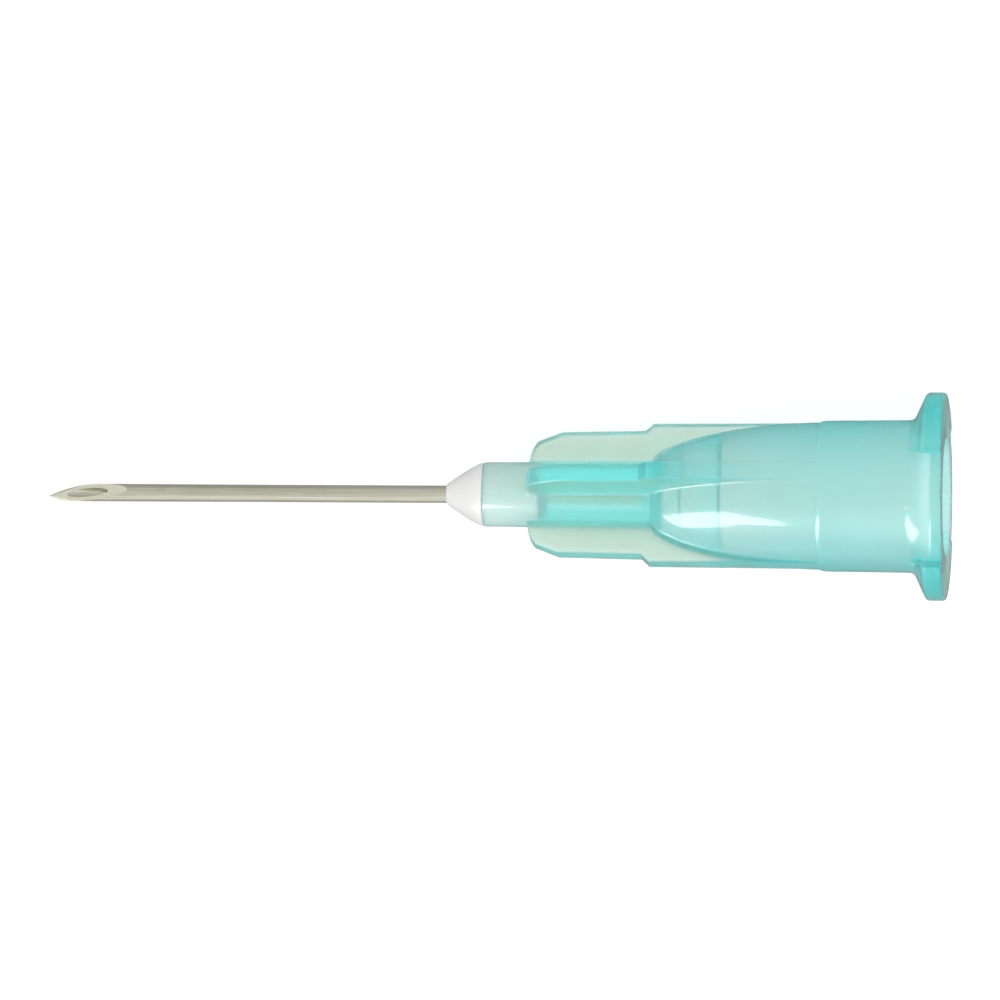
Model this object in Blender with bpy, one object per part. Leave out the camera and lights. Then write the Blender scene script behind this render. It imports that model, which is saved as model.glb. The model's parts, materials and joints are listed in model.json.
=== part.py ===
"""Hypodermic needle: a ground steel cannula bonded into a finned, moulded Luer lock hub.

Every piece is modelled upright: its axis is +Z, with the hub's rear face at height zero.
The empty that they hang from then lays the needle down as it comes to rest.
"""

import math

import bmesh
import bpy
from mathutils import Matrix, Vector

# Cannula, drawn steel tube
CANNULA_DIAMETER = 0.65e-3
CANNULA_BORE = 0.34e-3
CANNULA_REACH = 16.5e-3
CANNULA_SIDES = 48

# Lancet point: one long grind, then two short ones rolled to either side of it
BEVEL_ANGLE = math.radians(12.0)
BEVEL_ROLL = math.radians(-22.0)
LANCET_ANGLE = math.radians(17.8)
LANCET_ROLL = math.radians(35.0)
LANCET_SETBACK = 0.03e-3

# Hub barrel, from the rear face forward
BARREL_REAR_DIAMETER = 5.70e-3
BARREL_FRONT_DIAMETER = 5.61e-3
BARREL_LENGTH = 4.45e-3

# Rear rim and the two lugs that a locking collar grips
RIM_DIAMETER = 6.6e-3
RIM_THICKNESS = 0.42e-3
RIM_EDGE_RADIUS = 0.06e-3
FLARE_LENGTH = 0.95e-3
FLARE_HOLLOW = 1.15
LUG_DIAMETER = 7.74e-3
LUG_CREST_LENGTH = 0.78e-3
LUG_FACE_ANGLE = math.radians(21.0)
LUG_CHORD = 2.08e-3
LUG_ROLL = math.radians(61.5)
LUG_EDGE_RADIUS = 0.12e-3
LUG_CREST_RADIUS = 0.2e-3
LUG_CORNER_RADIUS = 0.3e-3
LUG_ROOT_RADIUS = 0.2e-3

# Shoulder: the barrel's wall closes in to the neck between the fins
SHOULDER_STEP = 0.07e-3
SHOULDER_LENGTH = 6.49e-3
SHOULDER_FULLNESS = 1.75

# Neck
NECK_REAR_DIAMETER = 2.48e-3
NECK_FRONT_DIAMETER = 2.40e-3
NECK_LENGTH = 6.31e-3
NECK_EDGE_RADIUS = 0.05e-3

# Fins
FIN_COUNT = 4
FIN_THICKNESS = 0.66e-3
FIN_DRAFT = math.radians(3.0)
FIN_REAR_DIAMETER = 5.52e-3
FIN_STEP_SETBACK = 0.05e-3
FIN_STEP_LENGTH = 0.3e-3
FIN_MID_DIAMETER = 4.95e-3
FIN_FRONT_DIAMETER = 4.82e-3
FIN_LENGTH = 4.65e-3
FIN_CHAMFER_LENGTH = 0.85e-3
FIN_CHAMFER_DEPTH = 0.34e-3
FIN_NOSE_LENGTH = 0.36e-3
FIN_NOSE_FULLNESS = 1.6
FIN_EDGE_RADIUS = 0.08e-3
FIN_ROOT_RADIUS = 0.14e-3

# Luer socket: six per cent taper, then two narrower steps down to its floor
SOCKET_MOUTH_DIAMETER = 4.3e-3
SOCKET_TAPER = 0.06
SOCKET_DEPTH = 8.3e-3
SOCKET_LEAD_IN = 0.12e-3
WELL_DIAMETER = 3.0e-3
WELL_DEPTH = 1.45e-3
SUMP_DIAMETER = 2.4e-3
SUMP_DEPTH = 0.7e-3
STEP_RADIUS = 0.1e-3

# Seat of the cannula in the hub
FLOW_BORE = 0.4e-3
SEAT_WALL = 0.85e-3
CUP_MOUTH_DIAMETER = 1.98e-3
CUP_BOTTOM_DIAMETER = 1.74e-3
CUP_DEPTH = 2.4e-3
CUP_CONE_DEPTH = 0.35e-3

# Adhesive bead
BEAD_LENGTH = 1.41e-3
BEAD_LAND = 0.28e-3
BEAD_INSET = 0.03e-3
BEAD_FEATHER = 0.03e-3

# Fits
BOND_GAP = 0.02e-3
BORE_CLEARANCE = 0.02e-3

# Side that the needle lies on, as an angle round its axis from the first fin
RESTING_SIDE = math.radians(147.0)
RESTING_SPREAD = math.radians(12.0)

# Fineness of the mesh, and how its rings are laid out
FIN_STEPS = (1, 2, 1, 2, 4)
LUG_STEPS = (8, 2, 1, 2, 7)
FLANK_LAND = 0.02e-3
BARREL_RINGS = 4
SHOULDER_RINGS = 12
NOSE_RINGS = 5
BEAD_RINGS = 8
ROUND_SIDES = 64
REAR_RING_PLACE = 0.75
REAR_RING_CORNER = 0.8
FILLET_LIMIT = 0.45
EDGE_BELLY = 0.3
SHARP_ANGLE = math.radians(35.0)
GRIND_BLOCK_REACH = 8.0

# Heights that several features share
SHOULDER_START = BARREL_LENGTH
NECK_START = SHOULDER_START + SHOULDER_LENGTH
HUB_LENGTH = NECK_START + NECK_LENGTH
FIN_STEP_START = NECK_START + FIN_STEP_SETBACK
FIN_FRONT = NECK_START + FIN_LENGTH
LUG_FRONT = LUG_CREST_LENGTH + (LUG_DIAMETER - BARREL_REAR_DIAMETER) / 2 * math.tan(LUG_FACE_ANGLE)
SOCKET_FLOOR = SOCKET_DEPTH + WELL_DEPTH + SUMP_DEPTH
CANNULA_SEAT = SOCKET_FLOOR + SEAT_WALL
CUP_BOTTOM = HUB_LENGTH - CUP_DEPTH
POINT = HUB_LENGTH + CANNULA_REACH


def clear_scene():
    for old in list(bpy.data.objects):
        bpy.data.objects.remove(old, do_unlink=True)


def mix(a, b, share):
    return a + (b - a) * share


def polar(radius, angle):
    return Vector((radius * math.cos(angle), radius * math.sin(angle)))


def soften(start, corner, end, count):
    """Points after start, up to end, on the curve that rounds off the corner between them."""
    points = []
    for i in range(1, count + 1):
        u = i / count
        points.append(start.lerp(corner, u).lerp(corner.lerp(end, u), u))
    return points


def raised_sector(outer, inner, corner, foot, half_pitch, edge, root, steps):
    """Half of a raised sector, from its middle at angle zero to half a pitch away.

    The outline follows the outer radius to the corner angle, drops down the flank to the foot
    angle on the inner radius and follows that. Both corners are rounded, by no more than the
    flank leaves room for. With no height left it still has the same points, on one circle.
    """
    outer_steps, edge_steps, flank_steps, root_steps, inner_steps = steps
    height = max(outer - inner, 0.0)
    foot += FLANK_LAND / inner
    crest, base = polar(inner + height, corner), polar(inner, foot)
    down = (base - crest).normalized()
    reach = min(edge, FILLET_LIMIT * (base - crest).length)
    rise = min(root, FILLET_LIMIT * (base - crest).length)
    edge_start = corner - edge / (inner + height)
    root_end = foot + root / inner
    points = [polar(inner + height, edge_start * i / outer_steps) for i in range(outer_steps + 1)]
    points += soften(points[-1], crest, crest + down * reach, edge_steps)
    flank_end = base - down * rise
    points += [points[-1].lerp(flank_end, i / flank_steps) for i in range(1, flank_steps + 1)]
    points += soften(flank_end, base, polar(inner, root_end), root_steps)
    for i in range(1, inner_steps + 1):
        points.append(polar(inner, mix(root_end, half_pitch, i / inner_steps)))
    return points


def ring_of(half_outline, copies, roll, height):
    """A closed ring at one height: the half outline mirrored, then copied round the axis."""
    mirrored = [Vector((p.x, -p.y)) for p in reversed(half_outline[1:])]
    pitch = mirrored[:-1] + half_outline
    mid = len(mirrored) - 1
    ring = []
    for copy in range(copies):
        turn = Matrix.Rotation(roll + copy * math.tau / copies, 2)
        start = mid if copy == 0 else 0
        ring += [turn @ p for p in pitch[start:]]
    turn = Matrix.Rotation(roll, 2)
    ring += [turn @ p for p in pitch[:mid]]
    return [Vector((p.x, p.y, height)) for p in ring]


def fin_ring(height, inner, outer):
    """The hub's section with the fins standing out from inner to outer, or flush if outer is less."""
    outer = max(outer, inner)
    foot_half = FIN_THICKNESS / 2 + (outer - inner) * math.tan(FIN_DRAFT)
    corner = math.asin(FIN_THICKNESS / 2 / outer)
    foot = math.asin(foot_half / inner)
    half_pitch = math.pi / FIN_COUNT
    half = raised_sector(
        outer, inner, corner, foot, half_pitch, FIN_EDGE_RADIUS, FIN_ROOT_RADIUS, FIN_STEPS
    )
    return ring_of(half, FIN_COUNT, 0.0, height)


def lug_ring(height, inner, outer, corner_share=1.0):
    """The flange's section: two lugs, whose ends are cut along one chord, over a round body."""
    outer = max(outer, inner)
    corner, foot = corner_share * math.acos(LUG_CHORD / outer), math.acos(LUG_CHORD / inner)
    half = raised_sector(
        outer, inner, corner, foot, math.pi / 2, LUG_CORNER_RADIUS, LUG_ROOT_RADIUS, LUG_STEPS
    )
    return ring_of(half, 2, LUG_ROLL, height)


def plain_ring(height, radius, sides=ROUND_SIDES):
    return [polar(radius, math.tau * i / sides).to_3d() + Vector((0, 0, height)) for i in range(sides)]


def turned_onto(ring, other):
    """The same ring, started from the point that faces the other ring's first point."""
    first = other[0].to_2d()
    start = max(range(len(ring)), key=lambda i: ring[i].to_2d().normalized().dot(first))
    return ring[start:] + ring[:start]


def blended(ring, other, share, height, radius):
    """A round ring with each point's angle between those of two rings."""
    made = []
    for p, q in zip(ring, other):
        angle = math.atan2(p.y, p.x)
        turn = math.remainder(math.atan2(q.y, q.x) - angle, math.tau)
        made.append(polar(radius, angle + turn * share).to_3d() + Vector((0, 0, height)))
    return made


def rounded_edge(height, radius, inward, backward):
    """Three points that round a corner off: inward along its height, backward along its radius."""
    belly = EDGE_BELLY
    return [
        (height + inward, radius),
        (height + belly * inward, radius + belly * backward),
        (height, radius + backward),
    ]


def loft(name, rings, material):
    """One closed body through a loop of rings: the last ring joins the first."""
    mesh = bpy.data.meshes.new(name)
    bm = bmesh.new()
    loops = [[bm.verts.new(p) for p in ring] for ring in rings]
    for ring, after in zip(loops, loops[1:] + loops[:1]):
        count = len(ring)
        for i in range(count):
            j = (i + 1) % count
            bm.faces.new((ring[i], ring[j], after[j], after[i]))
    bmesh.ops.recalc_face_normals(bm, faces=bm.faces)
    bm.to_mesh(mesh)
    bm.free()
    mesh.materials.append(material)
    mesh.shade_smooth()
    mesh.set_sharp_from_angle(angle=SHARP_ANGLE)
    piece = bpy.data.objects.new(name, mesh)
    bpy.context.scene.collection.objects.link(piece)
    return piece


def finish_material(name, colour, roughness, metallic):
    material = bpy.data.materials.new(name)
    material.use_nodes = True
    shader = material.node_tree.nodes["Principled BSDF"]
    shader.inputs["Base Color"].default_value = (*colour, 1.0)
    shader.inputs["Roughness"].default_value = roughness
    shader.inputs["Metallic"].default_value = metallic
    material.diffuse_color = (*colour, 1.0)
    return material


def barrel_radius(height):
    """The barrel narrows forward, as the mould's draft needs. The fins carry its taper on."""
    return mix(BARREL_REAR_DIAMETER, BARREL_FRONT_DIAMETER, height / BARREL_LENGTH) / 2


def neck_radius(height):
    return mix(NECK_REAR_DIAMETER, NECK_FRONT_DIAMETER, (height - NECK_START) / NECK_LENGTH) / 2


def shoulder_point(share):
    """Height and radius on the shoulder, a quarter of a superellipse from barrel to neck."""
    turn = share * math.pi / 2
    power = 2 / SHOULDER_FULLNESS
    start = BARREL_FRONT_DIAMETER / 2 - SHOULDER_STEP
    end = NECK_REAR_DIAMETER / 2
    height = SHOULDER_START + SHOULDER_STEP + (SHOULDER_LENGTH - SHOULDER_STEP) * math.sin(turn) ** power
    return height, end + (start - end) * max(math.cos(turn), 0.0) ** power


def fin_radius(height):
    """The fins' outer edge: along the barrel's line, down a chamfered step, then to the nose."""
    step_end = FIN_STEP_START + FIN_STEP_LENGTH
    nose = FIN_FRONT - FIN_NOSE_LENGTH
    chamfer = nose - FIN_CHAMFER_LENGTH
    stations = [
        (SHOULDER_START, BARREL_FRONT_DIAMETER / 2),
        (FIN_STEP_START, FIN_REAR_DIAMETER / 2),
        (step_end, FIN_MID_DIAMETER / 2),
        (chamfer, FIN_FRONT_DIAMETER / 2),
        (nose, FIN_FRONT_DIAMETER / 2 - FIN_CHAMFER_DEPTH),
    ]
    for (low, at_low), (high, at_high) in zip(stations, stations[1:]):
        if height <= high:
            return mix(at_low, at_high, (height - low) / (high - low))
    fall = min((height - nose) / FIN_NOSE_LENGTH, 1.0)
    root = neck_radius(FIN_FRONT)
    rise = (1 - fall**FIN_NOSE_FULLNESS) ** (1 / FIN_NOSE_FULLNESS)
    return root + (stations[-1][1] - root) * rise


def flare_radius(height):
    """The barrel flares out to the rim behind it in a hollow cone, which shows between the lugs."""
    rise = RIM_DIAMETER / 2 - barrel_radius(RIM_THICKNESS)
    share = min(max((height - RIM_THICKNESS) / FLARE_LENGTH, 0.0), 1.0)
    return barrel_radius(height) + rise * (1 - share) ** FLARE_HOLLOW


def flange_rings():
    """The rear face's edge, the rim and its flare, the lugs' slanting faces and their foot."""
    rim, lug = RIM_DIAMETER / 2, LUG_DIAMETER / 2
    rear_edge = reversed(rounded_edge(0.0, 0.0, LUG_EDGE_RADIUS, -LUG_EDGE_RADIUS))
    rings = [lug_ring(height, rim + inset, lug + inset) for height, inset in rear_edge]
    rings.append(lug_ring(RIM_THICKNESS - RIM_EDGE_RADIUS, rim, lug))
    crest, fillet = LUG_CREST_RADIUS, LUG_ROOT_RADIUS
    fall = math.tan(LUG_FACE_ANGLE)
    low = barrel_radius(LUG_FRONT)
    stations = [
        (RIM_THICKNESS + RIM_EDGE_RADIUS, lug),
        (LUG_CREST_LENGTH - crest, lug),
        (LUG_CREST_LENGTH - EDGE_BELLY * crest, lug - EDGE_BELLY * crest),
        (LUG_CREST_LENGTH + crest * fall, lug - crest),
        (LUG_FRONT - fillet * fall, low + fillet),
        (LUG_FRONT + EDGE_BELLY * fillet, low + EDGE_BELLY * fillet),
        (LUG_FRONT + fillet, low),
    ]
    return rings + [lug_ring(height, flare_radius(height), outer) for height, outer in stations]


def rear_ring():
    """A ring on the rear face, between the socket's mouth and the flange's outline.

    The lugs' ends overhang the rim, so its corners stay behind theirs, to keep the face unfolded.
    """
    mouth = SOCKET_MOUTH_DIAMETER / 2 + SOCKET_LEAD_IN
    radius = mix(mouth, RIM_DIAMETER / 2 - LUG_EDGE_RADIUS, REAR_RING_PLACE)
    return lug_ring(0.0, radius, radius, REAR_RING_CORNER)


def fin_rings():
    """The shoulder and the neck with the fins standing out of them, from barrel to front rim."""
    barrel, step = BARREL_FRONT_DIAMETER / 2, SHOULDER_STEP
    rings = [
        fin_ring(SHOULDER_START, barrel, barrel),
        fin_ring(SHOULDER_START + EDGE_BELLY * step, barrel - step + EDGE_BELLY * step, barrel),
    ]
    for i in range(SHOULDER_RINGS):
        height, radius = shoulder_point(i / SHOULDER_RINGS)
        rings.append(fin_ring(height, radius, fin_radius(height)))
    step_end = FIN_STEP_START + FIN_STEP_LENGTH
    nose = FIN_FRONT - FIN_NOSE_LENGTH
    chamfer = nose - FIN_CHAMFER_LENGTH
    heights = [NECK_START, FIN_STEP_START, mix(FIN_STEP_START, step_end, 0.5), step_end, chamfer, nose]
    heights += [mix(nose, FIN_FRONT, math.sin(i / NOSE_RINGS * math.pi / 2)) for i in range(1, NOSE_RINGS)]
    rings += [fin_ring(h, neck_radius(h), fin_radius(h)) for h in heights]
    rings.append(fin_ring(FIN_FRONT, neck_radius(FIN_FRONT), 0.0))
    front_edge = rounded_edge(HUB_LENGTH, neck_radius(HUB_LENGTH), -NECK_EDGE_RADIUS, -NECK_EDGE_RADIUS)
    return rings + [fin_ring(height, radius, 0.0) for height, radius in front_edge]


def inner_profile():
    """Height and radius down the inside: adhesive cup, cannula bore, flow bore, steps, Luer taper."""
    bore = CANNULA_DIAMETER / 2 + BORE_CLEARANCE
    flow = FLOW_BORE / 2
    well_floor = SOCKET_DEPTH + WELL_DEPTH
    mouth = SOCKET_MOUTH_DIAMETER / 2
    socket_end = mouth - SOCKET_TAPER / 2 * SOCKET_DEPTH
    well, sump, soft = WELL_DIAMETER / 2, SUMP_DIAMETER / 2, STEP_RADIUS
    profile = [
        (HUB_LENGTH, CUP_MOUTH_DIAMETER / 2),
        (CUP_BOTTOM + CUP_CONE_DEPTH, CUP_BOTTOM_DIAMETER / 2),
        (CUP_BOTTOM, bore),
        (CANNULA_SEAT, bore),
        (CANNULA_SEAT, flow),
        (SOCKET_FLOOR, flow),
    ]
    profile += reversed(rounded_edge(SOCKET_FLOOR, sump, -soft, -soft))
    profile += [(well_floor + soft, sump), (well_floor, sump + soft)]
    profile += reversed(rounded_edge(well_floor, well, -soft, -soft))
    profile += [(SOCKET_DEPTH + soft, well), (SOCKET_DEPTH, well + soft)]
    profile += reversed(rounded_edge(SOCKET_DEPTH, socket_end, -soft, -soft))
    return profile + rounded_edge(0.0, mouth, SOCKET_LEAD_IN, SOCKET_LEAD_IN)


def make_hub(material):
    """One moulding, lofted as a closed loop of sections: outside forward, inside back."""
    flange = flange_rings()
    fins = [turned_onto(ring, flange[0]) for ring in fin_rings()]
    barrel = []
    for i in range(1, BARREL_RINGS):
        share = i / BARREL_RINGS
        height = mix(LUG_FRONT + LUG_ROOT_RADIUS, SHOULDER_START, share)
        barrel.append(blended(flange[-1], fins[0], share, height, barrel_radius(height)))
    rear = rear_ring()
    profile = inner_profile()
    inside = []
    for i, (height, radius) in enumerate(profile):
        share = i / (len(profile) - 1)
        inside.append(blended(fins[-1], rear, share, height, radius))
    return loft("hub", flange + barrel + fins + inside + [rear], material)


def make_adhesive(material):
    """The bead that fills the cup and runs up the cannula in a cone."""
    hole = CANNULA_DIAMETER / 2 + BOND_GAP
    rim = NECK_FRONT_DIAMETER / 2 - BEAD_INSET
    seat = HUB_LENGTH + BOND_GAP
    cup_mouth = CUP_MOUTH_DIAMETER / 2 - BOND_GAP
    cup_end = CUP_BOTTOM_DIAMETER / 2 - BOND_GAP
    profile = [
        (CUP_BOTTOM + CUP_CONE_DEPTH / 2, hole),
        (CUP_BOTTOM + CUP_CONE_DEPTH + BOND_GAP, cup_end),
        (HUB_LENGTH, cup_mouth),
        (seat, cup_mouth),
        (seat, rim),
    ]
    start = Vector((seat + BEAD_INSET, rim))
    shoulder = Vector((seat + BEAD_LAND, rim))
    tip = Vector((HUB_LENGTH + BEAD_LENGTH, hole + BEAD_FEATHER))
    profile += [(start.x, start.y)]
    profile += [(p.x, p.y) for p in soften(start, shoulder, tip, BEAD_RINGS)]
    profile += [(HUB_LENGTH + BEAD_LENGTH, hole)]
    return loft("adhesive", [plain_ring(h, r) for h, r in profile], material)


def grinding_block(name, roll, angle, height):
    """A cutter whose face leans back by the angle through the cannula's far side at the height."""
    size = GRIND_BLOCK_REACH * CANNULA_DIAMETER / math.sin(BEVEL_ANGLE)
    mesh = bpy.data.meshes.new(name)
    bm = bmesh.new()
    bmesh.ops.create_cube(bm, size=size)
    bmesh.ops.translate(bm, verts=bm.verts, vec=(size / 2, 0, 0))
    bm.to_mesh(mesh)
    bm.free()
    block = bpy.data.objects.new(name, mesh)
    bpy.context.scene.collection.objects.link(block)
    far_side = Vector((*polar(-CANNULA_DIAMETER / 2, BEVEL_ROLL), height))
    turn = Matrix.Rotation(BEVEL_ROLL + roll, 4, "Z") @ Matrix.Rotation(-angle, 4, "Y")
    block.matrix_world = Matrix.Translation(far_side) @ turn
    block.hide_render = True
    block.display_type = "WIRE"
    return block


def make_cannula(material):
    """The tube, with its point ground by three blocks. Its end seats on the hub's stop."""
    outer, inner = CANNULA_DIAMETER / 2, CANNULA_BORE / 2
    foot = CANNULA_SEAT + BORE_CLEARANCE
    top = POINT + CANNULA_DIAMETER
    profile = [(foot, outer), (top, outer), (top, inner), (foot, inner)]
    rings = [plain_ring(h, r, CANNULA_SIDES) for h, r in profile]
    cannula = loft("cannula", rings, material)
    blocks = [
        grinding_block("bevel_grind", 0.0, BEVEL_ANGLE, POINT),
        grinding_block("lancet_grind_left", LANCET_ROLL, LANCET_ANGLE, POINT - LANCET_SETBACK),
        grinding_block("lancet_grind_right", -LANCET_ROLL, LANCET_ANGLE, POINT - LANCET_SETBACK),
    ]
    for block in blocks:
        cut = cannula.modifiers.new(block.name, "BOOLEAN")
        cut.operation = "DIFFERENCE"
        cut.solver = "EXACT"
        cut.object = block
    return cannula, blocks


def points_of(pieces):
    """Every vertex of the finished pieces, in world space."""
    graph = bpy.context.evaluated_depsgraph_get()
    points = []
    for piece in pieces:
        shown = piece.evaluated_get(graph)
        points += [shown.matrix_world @ v.co for v in shown.data.vertices]
    return points


def resting_turn(points):
    """The turn that puts the widest facet of the needle's hull, on the side it lies on, level.

    That facet spans a corner of a lug, the front corner of a fin and the point.
    """
    hull = bmesh.new()
    for point in points:
        hull.verts.new(point)
    bmesh.ops.convex_hull(hull, input=hull.verts)
    hull.normal_update()
    side = polar(1.0, RESTING_SIDE).to_3d()
    below = [face for face in hull.faces if face.normal.dot(side) > math.cos(RESTING_SPREAD)]
    up = -max(below, key=lambda face: face.calc_area()).normal
    hull.free()
    rearward = Vector((0, 0, -1))
    along = (rearward - up * rearward.dot(up)).normalized()
    return Matrix((along, up.cross(along), up)).to_4x4()


def lay_down(rest, pieces):
    """Turns the empty to the resting pose, with the middle of the box's foot on the origin."""
    bpy.context.view_layer.update()
    rest.matrix_world = resting_turn(points_of(pieces))
    bpy.context.view_layer.update()
    points = points_of(pieces)
    low = Vector([min(p[axis] for p in points) for axis in range(3)])
    high = Vector([max(p[axis] for p in points) for axis in range(3)])
    rest.location = (-(low.x + high.x) / 2, -(low.y + high.y) / 2, -low.z)


def build():
    clear_scene()
    plastic = finish_material("tinted_polypropylene", (0.33, 0.80, 0.76), 0.3, 0.0)
    steel = finish_material("drawn_steel", (0.60, 0.59, 0.55), 0.3, 1.0)
    epoxy = finish_material("white_epoxy", (0.92, 0.92, 0.90), 0.25, 0.0)
    hub = make_hub(plastic)
    adhesive = make_adhesive(epoxy)
    cannula, blocks = make_cannula(steel)
    rest = bpy.data.objects.new("resting_pose", None)
    bpy.context.scene.collection.objects.link(rest)
    for piece in [hub, adhesive, cannula, *blocks]:
        piece.parent = rest
    lay_down(rest, [hub, adhesive, cannula])


build()
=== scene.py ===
"""Looks of the hypodermic needle: finer meshes, materials, light and camera round its frame.

The three pieces are modelled upright, as the real ones are made: the axis is +Z, the hub's rear
face is at height zero and the first fin is at +X. One matrix then lays them where the frame is.
"""

import json
import math

import bmesh
import bpy
from mathutils import Matrix, Vector


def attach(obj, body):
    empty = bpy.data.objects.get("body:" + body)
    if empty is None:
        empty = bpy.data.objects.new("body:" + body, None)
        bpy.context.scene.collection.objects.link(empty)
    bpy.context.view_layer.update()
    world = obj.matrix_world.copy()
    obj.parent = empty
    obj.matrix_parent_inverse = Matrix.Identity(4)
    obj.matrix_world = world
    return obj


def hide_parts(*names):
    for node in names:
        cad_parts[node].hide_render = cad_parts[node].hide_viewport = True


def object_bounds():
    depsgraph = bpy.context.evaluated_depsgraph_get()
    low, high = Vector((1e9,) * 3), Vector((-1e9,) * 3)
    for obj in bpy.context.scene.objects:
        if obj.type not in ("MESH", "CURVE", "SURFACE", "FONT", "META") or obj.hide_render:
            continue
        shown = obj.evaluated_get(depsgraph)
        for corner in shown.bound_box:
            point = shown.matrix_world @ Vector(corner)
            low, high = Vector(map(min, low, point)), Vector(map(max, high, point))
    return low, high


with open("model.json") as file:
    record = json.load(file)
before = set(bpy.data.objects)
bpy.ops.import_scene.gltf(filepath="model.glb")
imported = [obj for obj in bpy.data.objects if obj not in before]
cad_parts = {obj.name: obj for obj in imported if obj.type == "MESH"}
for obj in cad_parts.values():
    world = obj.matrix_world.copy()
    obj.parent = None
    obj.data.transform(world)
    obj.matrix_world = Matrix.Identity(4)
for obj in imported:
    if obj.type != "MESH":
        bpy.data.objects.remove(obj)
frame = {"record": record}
cad_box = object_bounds()

MM = 1e-3

# Frame: the rear face's mount lies this far from the axis, along the middle of a lug
MOUNT_REACH = 2.85 * MM

# Photo: the point and the middle of the rear face, in its 1000 by 1000 pixels
POINT_PIXEL = (49.0, 495.9)
REAR_PIXEL = (946.5, 496.7)
PHOTO_SIZE = 1000.0
CAMERA_DISTANCE = 0.40
CAMERA_LEAN = math.radians(15.2)
CAMERA_SWING = math.radians(1.2)
SENSOR_WIDTH = 36.0
CLIP_START = 0.01
FIT_ROUNDS = 12

# Cannula
CANNULA_RADIUS = 0.325 * MM
BORE_RADIUS = 0.17 * MM
CANNULA_FOOT = 11.32 * MM
POINT_HEIGHT = 33.75 * MM
BEVEL_ANGLE = math.radians(12.0)
BEVEL_ROLL = math.radians(4.0)
LANCET_ANGLE = math.radians(17.8)
LANCET_ROLL = math.radians(35.0)
LANCET_SETBACK = 0.03 * MM
GRIND_BLOCK_SIZE = 16 * CANNULA_RADIUS / math.sin(BEVEL_ANGLE)

# Hub: barrel, flange and lugs
BARREL_REAR = 2.85 * MM
BARREL_FRONT = 2.805 * MM
BARREL_LENGTH = 4.45 * MM
RIM_RADIUS = 3.3 * MM
RIM_THICKNESS = 0.42 * MM
RIM_EDGE = 0.06 * MM
FLARE_LENGTH = 0.95 * MM
FLARE_HOLLOW = 1.6
LUG_RADIUS = 3.87 * MM
LUG_CREST = 0.78 * MM
LUG_FACE_ANGLE = math.radians(21.0)
LUG_CHORD = 2.08 * MM
LUG_ROLL = math.radians(61.5)
LUG_EDGE = 0.12 * MM
LUG_CREST_EDGE = 0.2 * MM
LUG_CORNER = 0.3 * MM
LUG_ROOT = 0.2 * MM

# Hub: shoulder, neck and fins
SHOULDER_STEP = 0.07 * MM
STEP_ROUNDING = 0.24 * MM
SHOULDER_LENGTH = 6.49 * MM
SHOULDER_FULLNESS = 1.75
NECK_REAR = 1.24 * MM
NECK_FRONT = 1.20 * MM
NECK_LENGTH = 6.31 * MM
NECK_EDGE = 0.05 * MM
FIN_COUNT = 4
FIN_THICKNESS = 0.66 * MM
FIN_DRAFT = math.radians(3.0)
FIN_REAR = 2.76 * MM
FIN_MID = 2.475 * MM
FIN_FRONT = 2.41 * MM
FIN_STEP_SETBACK = 0.05 * MM
FIN_STEP_LENGTH = 0.3 * MM
FIN_LENGTH = 4.65 * MM
FIN_CHAMFER_LENGTH = 0.85 * MM
FIN_CHAMFER_DEPTH = 0.34 * MM
FIN_NOSE_LENGTH = 0.36 * MM
FIN_NOSE_FULLNESS = 1.6
FIN_EDGE = 0.08 * MM
FIN_ROOT = 0.14 * MM

# Hub: Luer socket, well, sump, bores and adhesive cup
SOCKET_MOUTH = 2.15 * MM
SOCKET_TAPER = 0.03
SOCKET_DEPTH = 8.3 * MM
SOCKET_LEAD_IN = 0.12 * MM
WELL_RADIUS = 1.5 * MM
WELL_DEPTH = 1.45 * MM
SUMP_RADIUS = 1.2 * MM
SUMP_DEPTH = 0.7 * MM
STEP_RADIUS = 0.1 * MM
FLOW_RADIUS = 0.2 * MM
SEAT_WALL = 0.85 * MM
SEAT_RADIUS = 0.345 * MM
CUP_MOUTH = 0.99 * MM
CUP_BOTTOM_RADIUS = 0.87 * MM
CUP_DEPTH = 2.4 * MM
CUP_CONE_DEPTH = 0.35 * MM

# Adhesive bead
BEAD_LENGTH = 1.41 * MM
BEAD_LAND = 0.28 * MM
BEAD_INSET = 0.03 * MM
BEAD_FEATHER = 0.03 * MM
BOND_GAP = 0.02 * MM
BOND_LAP = 0.008 * MM

# Light: the surround's strength for diffuse rays and for rays through the plastic, and for
# mirrored rays from in front of the needle and from behind it
DIFFUSE_LEVEL = 0.95
THROUGH_LEVEL = 1.1
GLOSS_NEAR = 0.76
GLOSS_FAR = 0.52

# Lamps: the direction in the camera's view, the distance, the size and the power. The key gives
# the hub and the bond their highlights, and the last three are mirrored in the steel alone.
FILL = (Vector((0.0, -0.85, 0.53)), 0.9, (0.9, 0.35), 0.4)
KEY = (Vector((-0.588, -0.686, 0.429)), 0.45, (0.17, 0.36), 1.8)
TUBE_STREAK = (Vector((0.0, -0.85, 0.53)), 0.8, (0.9, 0.35), 0.1)
FACET_LIGHT = (Vector((-0.743, -0.293, 0.601)), 0.45, (0.2, 0.2), 0.045)
BEVEL_LIGHT = (Vector((-0.602, 0.555, 0.574)), 0.45, (0.2, 0.2), 0.035)

# Floor
FLOOR_RADIUS = 2.0
FLOOR_SIDES = 96
FLOOR_COLOUR = (0.42, 0.42, 0.42, 1.0)
FLOOR_ROUGHNESS = 0.9
FLOOR_GLOW = 0.75

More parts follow.
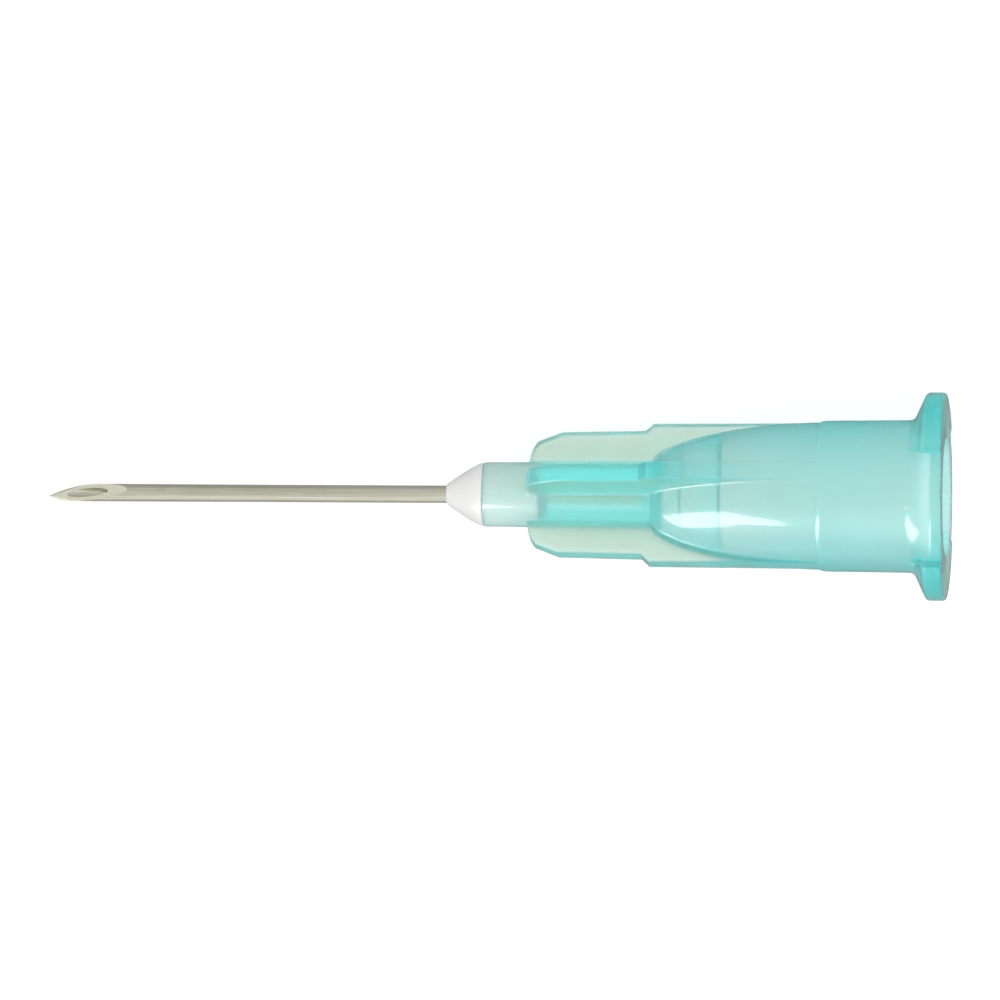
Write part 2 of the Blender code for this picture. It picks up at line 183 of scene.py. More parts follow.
# Colours: where there are two, the surface varies between them
BODY_COLOURS = (0.95, 0.92, 0.89), (0.98, 0.94, 0.92)
# Painted shade: greyer colours for the fins' flanks and the rear face
WEB_SHADE_COLOURS = (0.86, 0.78, 0.66), (0.90, 0.82, 0.71)
# Painted light: a paler colour where the white bond shows through the neck's thin wall
SLEEVE_LIGHT_COLOUR = (0.98, 1.0, 0.93)
DYE_COLOUR = (0.0, 0.995, 1.0, 1.0)
DYE_DENSITY = 430.0
PLASTIC_IOR = 1.49
STEEL_COLOURS = (0.67, 0.66, 0.52), (0.93, 0.93, 0.79)
STAIN_COLOUR = (0.65, 0.61, 0.46)
BOND_COLOURS = (0.96, 0.96, 0.94), (0.985, 0.985, 0.98)

# Fineness
FIN_STEPS = (3, 5, 9, 5, 8)
LUG_STEPS = (22, 8, 6, 8, 16)
FLANK_LAND = 0.02 * MM
FILLET_LIMIT = 0.45
EDGE_STEPS = 4
FACE_STEPS = 3
SHOULDER_RINGS = 40
BARREL_RINGS = 8
FIN_EDGE_RINGS = 6
NOSE_RINGS = 10
BEAD_RINGS = 24
ROUND_SIDES = 128
REAR_RING_PLACE = 0.75
REAR_RING_CORNER = 0.8
SHARP_ANGLE = math.radians(32.0)
GROUND_SHARP_ANGLE = math.radians(8.0)

# Masks that the hub's mesh carries: painted shade on the webs, painted light on the neck's thin
# wall round the bond
PAINTED_WEB_SHADE = "painted_web_shade"
WEB_SHADE_FADE = 0.2 * MM
REAR_FACE_DEPTH = 0.01 * MM
PAINTED_SLEEVE_LIGHT = "painted_sleeve_light"
SLEEVE_LIGHT_FADE = 0.4 * MM

# Heights that several features share
NECK_START = BARREL_LENGTH + SHOULDER_LENGTH
HUB_LENGTH = NECK_START + NECK_LENGTH
FIN_STEP_START = NECK_START + FIN_STEP_SETBACK
FIN_STEP_END = FIN_STEP_START + FIN_STEP_LENGTH
FIN_END = NECK_START + FIN_LENGTH
FIN_NOSE = FIN_END - FIN_NOSE_LENGTH
FIN_CHAMFER = FIN_NOSE - FIN_CHAMFER_LENGTH
LUG_FRONT = LUG_CREST + (LUG_RADIUS - BARREL_REAR) * math.tan(LUG_FACE_ANGLE)
WELL_FLOOR = SOCKET_DEPTH + WELL_DEPTH
SOCKET_FLOOR = WELL_FLOOR + SUMP_DEPTH
CANNULA_SEAT = SOCKET_FLOOR + SEAT_WALL
CUP_BOTTOM = HUB_LENGTH - CUP_DEPTH


def needle_frame():
    """Where the needle lies, from the rear face's mount. Its axis crosses the middle of the box."""
    mount = frame["record"]["mounts"][0]
    forward = -Vector(mount["axis"]).normalized()
    spot = Vector(mount["pos_m"])
    middle = (cad_box[0][1] + cad_box[1][1]) / 2
    across = Vector((0, 1, 0))
    under = forward.cross(across).normalized()
    under *= -math.copysign(1.0, under.z)
    sine = (spot.y - middle) / MOUNT_REACH
    lug = across * sine + under * math.sqrt(1 - sine * sine)
    first_fin = Matrix.Rotation(-LUG_ROLL, 3, forward) @ lug
    turned = Matrix((first_fin, forward.cross(first_fin), forward)).transposed()
    return Matrix.Translation(spot - lug * MOUNT_REACH) @ turned.to_4x4()


NEEDLE = needle_frame()


def mix(a, b, share):
    return a + (b - a) * share


def polar(radius, angle):
    return Vector((radius * math.cos(angle), radius * math.sin(angle)))


def soften(start, corner, end, count):
    """Points after start, up to end, on the curve that rounds off the corner between them."""
    points = []
    for i in range(1, count + 1):
        u = i / count
        points.append(start.lerp(corner, u).lerp(corner.lerp(end, u), u))
    return points


def raised_sector(outer, inner, corner, foot, half_pitch, edge, root, steps):
    """Half of a raised sector, from its middle at angle zero to half a pitch away."""
    outer_steps, edge_steps, flank_steps, root_steps, inner_steps = steps
    height = max(outer - inner, 0.0)
    foot += FLANK_LAND / inner
    crest, base = polar(inner + height, corner), polar(inner, foot)
    down = (base - crest).normalized()
    reach = min(edge, FILLET_LIMIT * (base - crest).length)
    rise = min(root, FILLET_LIMIT * (base - crest).length)
    edge_start = corner - edge / (inner + height)
    root_end = foot + root / inner
    points = [polar(inner + height, edge_start * i / outer_steps) for i in range(outer_steps + 1)]
    points += soften(points[-1], crest, crest + down * reach, edge_steps)
    last, flank_end = points[-1], base - down * rise
    points += [last.lerp(flank_end, i / flank_steps) for i in range(1, flank_steps + 1)]
    points += soften(flank_end, base, polar(inner, root_end), root_steps)
    for i in range(1, inner_steps + 1):
        points.append(polar(inner, mix(root_end, half_pitch, i / inner_steps)))
    return points


def ring_of(half_outline, copies, roll, height):
    """A closed ring at one height: the half outline mirrored, then copied round the axis.

    The point where two copies meet is there twice, and the second point has no mirrored one.
    """
    mirrored = [Vector((p.x, -p.y)) for p in reversed(half_outline[1:])]
    pitch = mirrored[:-1] + half_outline
    mid = len(mirrored) - 1
    ring = []
    for copy in range(copies):
        turn = Matrix.Rotation(roll + copy * math.tau / copies, 2)
        ring += [turn @ p for p in pitch[mid if copy == 0 else 0:]]
    turn = Matrix.Rotation(roll, 2)
    ring += [turn @ p for p in pitch[:mid]]
    return [Vector((p.x, p.y, height)) for p in ring]


def fin_ring(height, inner, outer):
    """The hub's section, with fins that stand out from inner to outer unless outer is less."""
    outer = max(outer, inner)
    foot_half = FIN_THICKNESS / 2 + (outer - inner) * math.tan(FIN_DRAFT)
    corner = math.asin(FIN_THICKNESS / 2 / outer)
    foot = math.asin(foot_half / inner)
    half_pitch = math.pi / FIN_COUNT
    half = raised_sector(outer, inner, corner, foot, half_pitch, FIN_EDGE, FIN_ROOT, FIN_STEPS)
    return ring_of(half, FIN_COUNT, 0.0, height)


def lug_ring(height, inner, outer, corner_share=1.0):
    """The flange's section: two lugs, whose ends are cut along one chord, over a round body."""
    outer = max(outer, inner)
    corner, foot = corner_share * math.acos(LUG_CHORD / outer), math.acos(LUG_CHORD / inner)
    half = raised_sector(outer, inner, corner, foot, math.pi / 2, LUG_CORNER, LUG_ROOT, LUG_STEPS)
    return ring_of(half, 2, LUG_ROLL, height)


def plain_ring(height, radius):
    rise = Vector((0, 0, height))
    return [polar(radius, math.tau * i / ROUND_SIDES).to_3d() + rise for i in range(ROUND_SIDES)]


def turned_onto(ring, other):
    """The same ring, started from the point that faces the other ring's first point."""
    first = other[0].to_2d()
    start = max(range(len(ring)), key=lambda i: ring[i].to_2d().normalized().dot(first))
    return ring[start:] + ring[:start]


def blended(ring, other, share, height, radius):
    """A round ring with each point's angle between those of two rings."""
    made = []
    for p, q in zip(ring, other):
        angle = math.atan2(p.y, p.x)
        turn = math.remainder(math.atan2(q.y, q.x) - angle, math.tau)
        made.append(polar(radius, angle + turn * share).to_3d() + Vector((0, 0, height)))
    return made


def rounded_edge(height, radius, inward, backward):
    """Points that round a corner off: inward along its height, backward along its radius."""
    points = []
    for i in range(EDGE_STEPS + 1):
        turn = i / EDGE_STEPS * math.pi / 2
        along, across = 1 - math.sin(turn), 1 - math.cos(turn)
        points.append((height + inward * along, radius + backward * across))
    return points


def add_piece(name, mesh, material):
    """Lays the mesh where the needle lies and links it as a piece, smooth between its edges."""
    mesh.transform(NEEDLE)
    mesh.materials.clear()
    mesh.materials.append(material)
    mesh.shade_smooth()
    mesh.set_sharp_from_angle(angle=SHARP_ANGLE)
    piece = bpy.data.objects.new(name, mesh)
    bpy.context.scene.collection.objects.link(piece)
    return piece


def loft_mesh(name, rings):
    """One closed body through a loop of rings: the last ring joins the first."""
    mesh = bpy.data.meshes.new(name)
    bm = bmesh.new()
    loops = [[bm.verts.new(p) for p in ring] for ring in rings]
    for ring, after in zip(loops, loops[1:] + loops[:1]):
        count = len(ring)
        for i in range(count):
            j = (i + 1) % count
            bm.faces.new((ring[i], ring[j], after[j], after[i]))
    bmesh.ops.recalc_face_normals(bm, faces=bm.faces)
    bm.to_mesh(mesh)
    bm.free()
    return mesh


def barrel_radius(height):
    return mix(BARREL_REAR, BARREL_FRONT, height / BARREL_LENGTH)


def neck_radius(height):
    return mix(NECK_REAR, NECK_FRONT, (height - NECK_START) / NECK_LENGTH)


def shoulder_point(share):
    """Height and radius on the shoulder, a quarter of a superellipse from barrel to neck."""
    turn = share * math.pi / 2
    power = 2 / SHOULDER_FULLNESS
    start = BARREL_FRONT - SHOULDER_STEP
    length = SHOULDER_LENGTH - STEP_ROUNDING
    height = BARREL_LENGTH + STEP_ROUNDING + length * math.sin(turn) ** power
    return height, NECK_REAR + (start - NECK_REAR) * max(math.cos(turn), 0.0) ** power


def body_radius(height):
    """The hub's outer radius without its fins: barrel, shoulder or neck."""
    if height <= BARREL_LENGTH:
        return barrel_radius(height)
    if height >= NECK_START:
        return neck_radius(height)
    share = (height - BARREL_LENGTH) / SHOULDER_LENGTH
    fall = (1 - share**SHOULDER_FULLNESS) ** (1 / SHOULDER_FULLNESS)
    return NECK_REAR + (BARREL_FRONT - NECK_REAR) * fall


def fin_radius(height):
    """The fins' outer edge: along the barrel's line, down a chamfered step, then to the nose."""
    stations = [
        (BARREL_LENGTH, BARREL_FRONT),
        (FIN_STEP_START, FIN_REAR),
        (FIN_STEP_END, FIN_MID),
        (FIN_CHAMFER, FIN_FRONT),
        (FIN_NOSE, FIN_FRONT - FIN_CHAMFER_DEPTH),
    ]
    for (low, at_low), (high, at_high) in zip(stations, stations[1:]):
        if height <= high:
            return mix(at_low, at_high, (height - low) / (high - low))
    fall = min((height - FIN_NOSE) / FIN_NOSE_LENGTH, 1.0)
    root = neck_radius(FIN_END)
    rise = (1 - fall**FIN_NOSE_FULLNESS) ** (1 / FIN_NOSE_FULLNESS)
    return root + (stations[-1][1] - root) * rise


def flare_radius(height):
    """The barrel flares out to the rim behind it in a hollow cone, which shows between the lugs."""
    rise = RIM_RADIUS - barrel_radius(RIM_THICKNESS)
    share = min(max((height - RIM_THICKNESS) / FLARE_LENGTH, 0.0), 1.0)
    return barrel_radius(height) + rise * (1 - share) ** FLARE_HOLLOW


def flange_rings():
    """The rear face's edge, the rim and its flare, the lugs' slanting faces and their foot."""
    rings = []
    for height, inset in reversed(rounded_edge(0.0, 0.0, LUG_EDGE, -LUG_EDGE)):
        rings.append(lug_ring(height, RIM_RADIUS + inset, LUG_RADIUS + inset))
    front = Vector((RIM_THICKNESS + RIM_EDGE, flare_radius(RIM_THICKNESS + RIM_EDGE)))
    side = Vector((RIM_THICKNESS - RIM_EDGE, RIM_RADIUS))
    corner = Vector((RIM_THICKNESS, RIM_RADIUS))
    rim = [side] + soften(side, corner, front, EDGE_STEPS)
    rings += [lug_ring(p.x, p.y, LUG_RADIUS) for p in rim]
    fall = math.tan(LUG_FACE_ANGLE)
    stations = []
    for i in range(EDGE_STEPS + 1):
        turn = i / EDGE_STEPS * (math.pi / 2 - LUG_FACE_ANGLE)
        ahead = LUG_CREST_EDGE * math.sin(turn)
        drop = LUG_CREST_EDGE * (1 - math.cos(turn))
        stations.append((LUG_CREST - LUG_CREST_EDGE + ahead, LUG_RADIUS - drop))
    low = barrel_radius(LUG_FRONT)
    start = Vector((LUG_FRONT - LUG_ROOT * fall, low + LUG_ROOT))
    end = Vector((LUG_FRONT + LUG_ROOT, low))
    above = Vector(stations[-1])
    stations += [tuple(above.lerp(start, i / FACE_STEPS)) for i in range(1, FACE_STEPS + 1)]
    stations += [tuple(p) for p in soften(start, Vector((LUG_FRONT, low)), end, 2 * EDGE_STEPS)]
    return rings + [lug_ring(height, flare_radius(height), outer) for height, outer in stations]


def rear_ring():
    """A ring on the rear face. Its corners stay behind the lugs' ones, which overhang the rim."""
    radius = mix(SOCKET_MOUTH + SOCKET_LEAD_IN, RIM_RADIUS - LUG_EDGE, REAR_RING_PLACE)
    return lug_ring(0.0, radius, radius, REAR_RING_CORNER)


def fin_rings():
    """The shoulder and the neck with the fins standing out of them, from barrel to front rim.

    The first ring is there twice, since the rounded edge starts with it again.
    """
    rings = [fin_ring(BARREL_LENGTH, BARREL_FRONT, BARREL_FRONT)]
    step_end = BARREL_LENGTH + STEP_ROUNDING
    for height, radius in rounded_edge(step_end, BARREL_FRONT, -STEP_ROUNDING, -SHOULDER_STEP):
        rings.append(fin_ring(height, radius, BARREL_FRONT))
    for i in range(1, SHOULDER_RINGS):
        height, radius = shoulder_point(i / SHOULDER_RINGS)
        rings.append(fin_ring(height, radius, fin_radius(height)))
    heights = [NECK_START, FIN_STEP_START, mix(FIN_STEP_START, FIN_STEP_END, 0.5), FIN_STEP_END]
    for i in range(1, FIN_EDGE_RINGS):
        heights.append(mix(FIN_STEP_END, FIN_CHAMFER, i / FIN_EDGE_RINGS))
    heights += [FIN_CHAMFER, mix(FIN_CHAMFER, FIN_NOSE, 0.5), FIN_NOSE]
    for i in range(1, NOSE_RINGS):
        heights.append(mix(FIN_NOSE, FIN_END, math.sin(i / NOSE_RINGS * math.pi / 2)))
    rings += [fin_ring(h, neck_radius(h), fin_radius(h)) for h in heights]
    rings.append(fin_ring(FIN_END, neck_radius(FIN_END), 0.0))
    front_edge = rounded_edge(HUB_LENGTH, neck_radius(HUB_LENGTH), -NECK_EDGE, -NECK_EDGE)
    return rings + [fin_ring(height, radius, 0.0) for height, radius in front_edge]


def inner_profile():
    """Height and radius down the inside: cup, cannula's seat, flow bore, steps, Luer taper."""
    socket_end = SOCKET_MOUTH - SOCKET_TAPER * SOCKET_DEPTH
    profile = [
        (HUB_LENGTH, CUP_MOUTH),
        (CUP_BOTTOM + CUP_CONE_DEPTH, CUP_BOTTOM_RADIUS),
        (CUP_BOTTOM, SEAT_RADIUS),
        (CANNULA_SEAT, SEAT_RADIUS),
        (CANNULA_SEAT, FLOW_RADIUS),
        (SOCKET_FLOOR, FLOW_RADIUS),
    ]
    soft = STEP_RADIUS
    profile += reversed(rounded_edge(SOCKET_FLOOR, SUMP_RADIUS, -soft, -soft))
    profile += rounded_edge(WELL_FLOOR, SUMP_RADIUS, soft, soft)
    profile += reversed(rounded_edge(WELL_FLOOR, WELL_RADIUS, -soft, -soft))
    profile += rounded_edge(SOCKET_DEPTH, WELL_RADIUS, soft, soft)
    profile += reversed(rounded_edge(SOCKET_DEPTH, socket_end, -soft, -soft))
    return profile + rounded_edge(0.0, SOCKET_MOUTH, SOCKET_LEAD_IN, SOCKET_LEAD_IN)


def web_shade_share(point):
    """Painted shade's mask: one on the fins' flanks and on the rear face, but not on the fins'
    outer edges.
    """
    radius = math.hypot(point.x, point.y)
    if point.z < REAR_FACE_DEPTH:
        return 1.0 if radius > SOCKET_MOUTH + SOCKET_LEAD_IN else 0.0
    if point.z < BARREL_LENGTH:
        return 0.0
    root = min(max((radius - body_radius(point.z)) / WEB_SHADE_FADE, 0.0), 1.0)
    return root * min(max((fin_radius(point.z) - radius - FIN_EDGE) / FIN_EDGE, 0.0), 1.0)


def sleeve_light_share(point):
    """Painted light's mask: one on the neck in front of the fins, whose thin wall lies on the white
    bond.
    """
    if math.hypot(point.x, point.y) > NECK_REAR or point.z < FIN_END - FIN_NOSE_LENGTH:
        return 0.0
    return min((point.z - FIN_NOSE) / SLEEVE_LIGHT_FADE, 1.0)


def make_hub(material):
    """One moulding, lofted as a closed loop of sections: outside forward, inside back."""
    flange = flange_rings()
    fins = [turned_onto(ring, flange[0]) for ring in fin_rings()]
    barrel = []
    for i in range(1, BARREL_RINGS):
        share = i / BARREL_RINGS
        height = mix(LUG_FRONT + LUG_ROOT, BARREL_LENGTH, share)
        barrel.append(blended(flange[-1], fins[0], share, height, barrel_radius(height)))
    rear = rear_ring()
    profile = inner_profile()
    inside = []
    for i, (height, radius) in enumerate(profile):
        inside.append(blended(fins[-1], rear, i / (len(profile) - 1), height, radius))
    mesh = loft_mesh("hub_moulding", flange + barrel + fins + inside + [rear])
    # Masks of painted shade on the webs and of painted light on the neck's wall over the bond
    for name, share in ((PAINTED_WEB_SHADE, web_shade_share), (PAINTED_SLEEVE_LIGHT, sleeve_light_share)):
        mask = mesh.attributes.new(name, "FLOAT", "POINT")
        for vertex, value in zip(mesh.vertices, mask.data):
            value.value = share(vertex.co)
    return add_piece("hub_moulding", mesh, material)


def make_bead(material):
    """The adhesive that fills the cup and runs up the cannula in a cone."""
    hole = CANNULA_RADIUS + BOND_GAP
    rim = NECK_FRONT - BEAD_INSET
    seat = HUB_LENGTH + BOND_GAP
    cup_mouth, cup_end = CUP_MOUTH + BOND_LAP, CUP_BOTTOM_RADIUS + BOND_LAP
    profile = [
        (CUP_BOTTOM - BOND_LAP, hole),
        (CUP_BOTTOM + CUP_CONE_DEPTH - BOND_LAP, cup_end),
        (HUB_LENGTH, cup_mouth),
        (seat, cup_mouth),
        (seat, rim),
    ]
    start = Vector((seat + BEAD_INSET, rim))
    tip = Vector((HUB_LENGTH + BEAD_LENGTH, hole + BEAD_FEATHER))
    profile.append((start.x, start.y))
    land = Vector((seat + BEAD_LAND, rim))
    profile += [(p.x, p.y) for p in soften(start, land, tip, BEAD_RINGS)]
    profile.append((HUB_LENGTH + BEAD_LENGTH, hole))
    mesh = loft_mesh("adhesive_bead", [plain_ring(h, r) for h, r in profile])
    return add_piece("adhesive_bead", mesh, material)


def make_cannula(material):
    """The drawn tube, with its point ground by one long face and two short ones."""
    top = POINT_HEIGHT + 2 * CANNULA_RADIUS
    profile = [
        (CANNULA_FOOT, CANNULA_RADIUS),
        (top, CANNULA_RADIUS),
        (top, BORE_RADIUS),
        (CANNULA_FOOT, BORE_RADIUS),
    ]
    mesh = loft_mesh("cannula_tube", [plain_ring(h, r) for h, r in profile])
    piece = add_piece("cannula_tube", mesh, material)
    blocks = []
    for roll, angle, setback in (
        (0.0, BEVEL_ANGLE, 0.0),
        (LANCET_ROLL, LANCET_ANGLE, LANCET_SETBACK),
        (-LANCET_ROLL, LANCET_ANGLE, LANCET_SETBACK),
    ):
        block_mesh = bpy.data.meshes.new("grinding_block")
        bm = bmesh.new()
        bmesh.ops.create_cube(bm, size=GRIND_BLOCK_SIZE)
        bmesh.ops.translate(bm, verts=bm.verts, vec=(GRIND_BLOCK_SIZE / 2, 0, 0))
        bm.to_mesh(block_mesh)
        bm.free()
        block = bpy.data.objects.new("grinding_block", block_mesh)
        bpy.context.scene.collection.objects.link(block)
        far_side = Vector((*polar(-CANNULA_RADIUS, BEVEL_ROLL), POINT_HEIGHT - setback))
        turn = Matrix.Rotation(BEVEL_ROLL + roll, 4, "Z") @ Matrix.Rotation(-angle, 4, "Y")
        block.matrix_world = NEEDLE @ Matrix.Translation(far_side) @ turn
        cut = piece.modifiers.new("grind", "BOOLEAN")
        cut.operation = "DIFFERENCE"
        cut.solver = "EXACT"
        cut.object = block
        blocks.append(block)
    bpy.context.view_layer.update()
    evaluated = piece.evaluated_get(bpy.context.evaluated_depsgraph_get())
    ground = bpy.data.meshes.new_from_object(evaluated)
    piece.modifiers.clear()
    piece.data = ground
    ground.name = "cannula_tube"
    ground.materials.clear()
    ground.materials.append(material)
    ground.shade_smooth()
    ground.set_sharp_from_angle(angle=GROUND_SHARP_ANGLE)
    for block in blocks:
        bpy.data.objects.remove(block, do_unlink=True)
    return piece


class Nodes:
    """A material's node tree, with short calls to add nodes and link them."""

    def __init__(self, name):
        self.material = bpy.data.materials.new(name)
        self.material.use_nodes = True
        self.tree = self.material.node_tree
        self.shader = self.tree.nodes["Principled BSDF"]
        self.output = self.tree.nodes["Material Output"]

    def add(self, kind, settings=None, **inputs):
        node = self.tree.nodes.new(kind)
        for key, value in (settings or {}).items():
            setattr(node, key, value)
        for key, value in inputs.items():
            self.set(node.inputs[key.replace("_", " ")], value)
        return node

    def set(self, socket, value):
        if isinstance(value, bpy.types.NodeSocket):
            self.tree.links.new(value, socket)
        else:
            socket.default_value = value

    def shade(self, **inputs):
        for key, value in inputs.items():
            self.set(self.shader.inputs[key.replace("_", " ")], value)

    def noise(self, scale, detail=3.0, stretch=(1, 1, 1), roughness=0.55):
        """Noise in the needle's own frame, stretched along its axes."""
        place = self.add("ShaderNodeTexCoord").outputs["Object"]
        kind = {"vector_type": "TEXTURE"}
        mapping = self.add("ShaderNodeMapping", kind, Vector=place, Scale=stretch)
        mapping.inputs["Location"].default_value = NEEDLE.translation
        mapping.inputs["Rotation"].default_value = NEEDLE.to_euler()
        made = self.add("ShaderNodeTexNoise", Scale=scale, Detail=detail, Roughness=roughness)
        self.set(made.inputs["Vector"], mapping.outputs[0])
        return made.outputs["Fac"]

    def ramp(self, value, low, high, to_low, to_high):
        return self.add(
            "ShaderNodeMapRange",
            Value=value,
            From_Min=low,
            From_Max=high,
            To_Min=to_low,
            To_Max=to_high,
        ).outputs["Result"]

    def blend(self, share, a, b):
        """A colour between two. The Mix node's sockets for colours are the 6th, 7th and 2nd."""
        made = self.tree.nodes.new("ShaderNodeMix")
        made.data_type = "RGBA"
        self.set(made.inputs[0], share)
        for socket, value in ((made.inputs[6], a), (made.inputs[7], b)):
            self.set(socket, (*value, 1.0) if isinstance(value, tuple) else value)
        return made.outputs[2]

    def mask(self, name):
        return self.add("ShaderNodeAttribute", {"attribute_name": name}).outputs["Fac"]

    def bump(self, height, strength, distance, normal=None):
        made = self.add("ShaderNodeBump", Height=height, Strength=strength, Distance=distance)
        if normal is not None:
            self.set(made.inputs["Normal"], normal)
        return made.outputs["Normal"]


def plastic_material():
    """Hazy polypropylene with a turquoise dye: it soaks up red where it is thick."""
    made = Nodes("tinted_polypropylene")
    cloud = made.noise(900.0, 4.0)
    grain = made.noise(9000.0, 2.0)
    share = made.ramp(cloud, 0.35, 0.65, 0.0, 1.0)
    body = made.blend(share, *BODY_COLOURS)
    painted_web_shade = made.blend(share, *WEB_SHADE_COLOURS)
    # Painted shade greys the webs, and painted light makes the neck's wall over the bond paler
    tinted = made.blend(made.mask(PAINTED_WEB_SHADE), body, painted_web_shade)
    made.shade(
        Base_Color=made.blend(made.mask(PAINTED_SLEEVE_LIGHT), tinted, SLEEVE_LIGHT_COLOUR),
        Roughness=made.ramp(cloud, 0.3, 0.7, 0.38, 0.46),
        IOR=PLASTIC_IOR,
        Transmission_Weight=0.96,
        Coat_Weight=0.8,
        Coat_Roughness=0.08,
        Coat_IOR=PLASTIC_IOR,
        Normal=made.bump(grain, 0.08, 0.02 * MM, made.bump(cloud, 0.1, 0.05 * MM)),
    )
    dye = made.add("ShaderNodeVolumeAbsorption", Color=DYE_COLOUR, Density=DYE_DENSITY)
    made.tree.links.new(dye.outputs[0], made.output.inputs["Volume"])
    return made.material


def steel_material():
    """Drawn steel: fine lines run lengthwise, with faint stains and tiny pits."""
    made = Nodes("drawn_steel")
    lines = made.noise(9000.0, 4.0, (1, 1, 50), 0.7)
    stains = made.noise(1800.0, 4.0, (1, 1, 2.5))
    pits = made.noise(16000.0, 2.0, (1, 1, 2))
    tone = made.blend(made.ramp(lines, 0.3, 0.7, 0.0, 1.0), *STEEL_COLOURS)
    tone = made.blend(made.ramp(stains, 0.5, 0.75, 0.0, 0.5), tone, STAIN_COLOUR)
    made.shade(
        Base_Color=tone,
        Metallic=1.0,
        Roughness=made.ramp(lines, 0.3, 0.7, 0.13, 0.24),
        Normal=made.bump(pits, 0.15, 0.004 * MM, made.bump(lines, 0.35, 0.006 * MM)),
    )
    return made.material


def epoxy_material():
    """White bond: smooth and glossy, a little uneven, with a slightly warm tone in places."""
    made = Nodes("white_epoxy")
    cloud = made.noise(1400.0, 3.0)
    made.shade(
        Base_Color=made.blend(made.ramp(cloud, 0.3, 0.7, 0.0, 1.0), *BOND_COLOURS),
        Roughness=made.ramp(cloud, 0.3, 0.7, 0.28, 0.38),
        Subsurface_Weight=0.15,
        Subsurface_Scale=0.3 * MM,
        Normal=made.bump(cloud, 0.12, 0.03 * MM),
    )
    return made.material


def seen_ray(nodes, links):
    """One for the rays that show the background, from the camera or through the plastic."""
    path = nodes.new("ShaderNodeLightPath")
    either = nodes.new("ShaderNodeMath")
    either.operation = "MAXIMUM"
    links.new(path.outputs["Is Camera Ray"], either.inputs[0])
    links.new(path.outputs["Is Transmission Ray"], either.inputs[1])
    return either.outputs[0]


def make_floor():
    """A plain white floor. It glows a little for the rays that show the background."""
    mesh = bpy.data.meshes.new("floor")
    bm = bmesh.new()
    bmesh.ops.create_circle(bm, cap_ends=True, radius=FLOOR_RADIUS, segments=FLOOR_SIDES)
    bm.to_mesh(mesh)
    bm.free()
    floor = bpy.data.objects.new("floor", mesh)
    bpy.context.scene.collection.objects.link(floor)
    material = bpy.data.materials.new("white_floor")
    material.use_nodes = True
    nodes, links = material.node_tree.nodes, material.node_tree.links
    shader = nodes["Principled BSDF"]
    shader.inputs["Base Color"].default_value = FLOOR_COLOUR
    shader.inputs["Roughness"].default_value = FLOOR_ROUGHNESS
    shader.inputs["Specular IOR Level"].default_value = 0.0
    shader.inputs["Emission Color"].default_value = (1.0, 1.0, 1.0, 1.0)
    glow = nodes.new("ShaderNodeMath")
    glow.operation = "MULTIPLY"
    glow.inputs[1].default_value = FLOOR_GLOW
    links.new(seen_ray(nodes, links), glow.inputs[0])
    links.new(glow.outputs[0], shader.inputs["Emission Strength"])
    mesh.materials.append(material)


def make_world():
    """A soft white surround. Mirrored, it is dimmer, most of all from behind the needle."""
    world = bpy.data.worlds.new("studio")
    world.use_nodes = True
    bpy.context.scene.world = world
    nodes, links = world.node_tree.nodes, world.node_tree.links
    background = nodes["Background"]
    background.inputs["Color"].default_value = (1.0, 1.0, 1.0, 1.0)
    place = nodes.new("ShaderNodeTexCoord")
    direction = nodes.new("ShaderNodeSeparateXYZ")
    links.new(place.outputs["Generated"], direction.inputs[0])
    fading = nodes.new("ShaderNodeMapRange")
    fading.inputs["From Min"].default_value = -1.0
    fading.inputs["To Min"].default_value = GLOSS_NEAR
    fading.inputs["To Max"].default_value = GLOSS_FAR
    links.new(direction.outputs["Y"], fading.inputs["Value"])
    path = nodes.new("ShaderNodeLightPath")
    level = fading.outputs["Result"]
    for name, value in (
        ("Is Diffuse Ray", DIFFUSE_LEVEL),
        ("Is Transmission Ray", THROUGH_LEVEL),
        ("Is Camera Ray", 1.0),
    ):
        chosen = nodes.new("ShaderNodeMix")
        links.new(path.outputs[name], chosen.inputs[0])
        links.new(level, chosen.inputs[2])
        chosen.inputs[3].default_value = value
        level = chosen.outputs[0]
    links.new(level, background.inputs["Strength"])


def add_softbox(name, view, settings, mirrored_in=()):
    """A rectangular lamp that faces the middle of the hub, from a direction in the camera's view.

    If it is mirrored in some pieces it lights nothing else, and otherwise no surface mirrors it.
    """
    direction, distance, size, power = settings
    light = bpy.data.lights.new(name, "AREA")
    light.shape = "RECTANGLE"
    light.size, light.size_y = size
    light.energy = power
    lamp = bpy.data.objects.new(name, light)
    bpy.context.scene.collection.objects.link(lamp)
    away = (view @ direction).normalized()
    aim = NEEDLE @ Vector((0, 0, HUB_LENGTH / 2))
    lamp.rotation_mode = "QUATERNION"
    lamp.rotation_quaternion = away.to_track_quat("Z", "Y")
    lamp.location = aim + away * distance
    lamp.visible_glossy = bool(mirrored_in)
    lamp.visible_diffuse = lamp.visible_transmission = not mirrored_in
    if mirrored_in:
        receivers = bpy.data.collections.new(name + "_receivers")
        for piece in mirrored_in:
            receivers.objects.link(piece)
        lamp.light_linking.receiver_collection = receivers


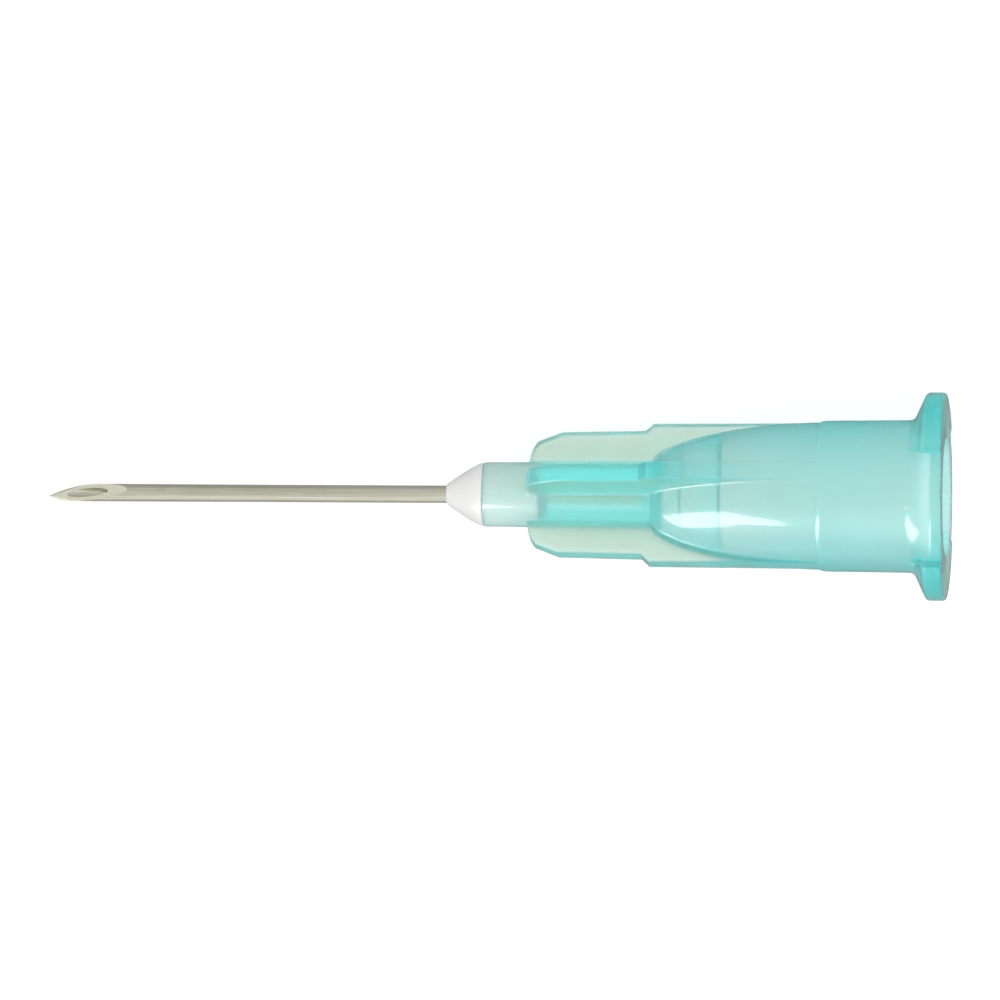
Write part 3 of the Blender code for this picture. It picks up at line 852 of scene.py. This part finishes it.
def make_camera():
    """A camera that puts the point and the rear face on the photo's pixels. Gives its rotation."""
    data = bpy.data.cameras.new("camera")
    camera = bpy.data.objects.new("camera", data)
    bpy.context.scene.collection.objects.link(camera)
    right = Vector((math.cos(CAMERA_SWING), 0, -math.sin(CAMERA_SWING)))
    above = Vector((math.sin(CAMERA_SWING), 0, math.cos(CAMERA_SWING)))
    back = Matrix.Rotation(-CAMERA_LEAN, 3, right) @ above
    upright = Matrix((right, back.cross(right), back)).transposed()
    tip = polar(-CANNULA_RADIUS, BEVEL_ROLL)
    point = NEEDLE @ Vector((*tip, POINT_HEIGHT - LANCET_SETBACK))
    rear = NEEDLE.translation
    centre = Vector((PHOTO_SIZE, PHOTO_SIZE)) / 2
    target = (point + rear) / 2
    scale, tilt = PHOTO_SIZE / (point - rear).length, 0.0
    for _ in range(FIT_ROUNDS):
        turned = upright @ Matrix.Rotation(tilt, 3, "Z")
        place = Matrix.Translation(target + back * CAMERA_DISTANCE) @ turned.to_4x4()
        seen = []
        for spot in (point, rear):
            p = place.inverted() @ spot
            seen.append(Vector((p.x, -p.y)) / -p.z * scale * CAMERA_DISTANCE + centre)
        wanted = Vector(REAR_PIXEL) - Vector(POINT_PIXEL)
        found = seen[1] - seen[0]
        miss = seen[0] - Vector(POINT_PIXEL)
        target += turned @ Vector((miss.x, -miss.y, 0)) / scale
        scale *= wanted.length / found.length
        tilt += math.atan2(wanted.y, wanted.x) - math.atan2(found.y, found.x)
    camera.matrix_world = place
    data.sensor_width = SENSOR_WIDTH
    data.lens = SENSOR_WIDTH * scale * CAMERA_DISTANCE / PHOTO_SIZE
    data.clip_start = CLIP_START
    bpy.context.scene.camera = camera
    return turned


hub = make_hub(plastic_material())
bead = make_bead(epoxy_material())
cannula = make_cannula(steel_material())
for piece, node, slot in (
    (hub, "hub", "tinted_polypropylene"),
    (bead, "adhesive", "white_epoxy"),
    (cannula, "cannula", "drawn_steel"),
):
    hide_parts(node)
    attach(piece, "root")

view = make_camera()
make_floor()
make_world()
add_softbox("fill", view, FILL)
add_softbox("key", view, KEY, (hub, bead))
add_softbox("tube_streak", view, TUBE_STREAK, (cannula,))
add_softbox("facet_light", view, FACET_LIGHT, (cannula,))
add_softbox("bevel_light", view, BEVEL_LIGHT, (cannula,))
bpy.context.scene.view_settings.view_transform = "Standard"
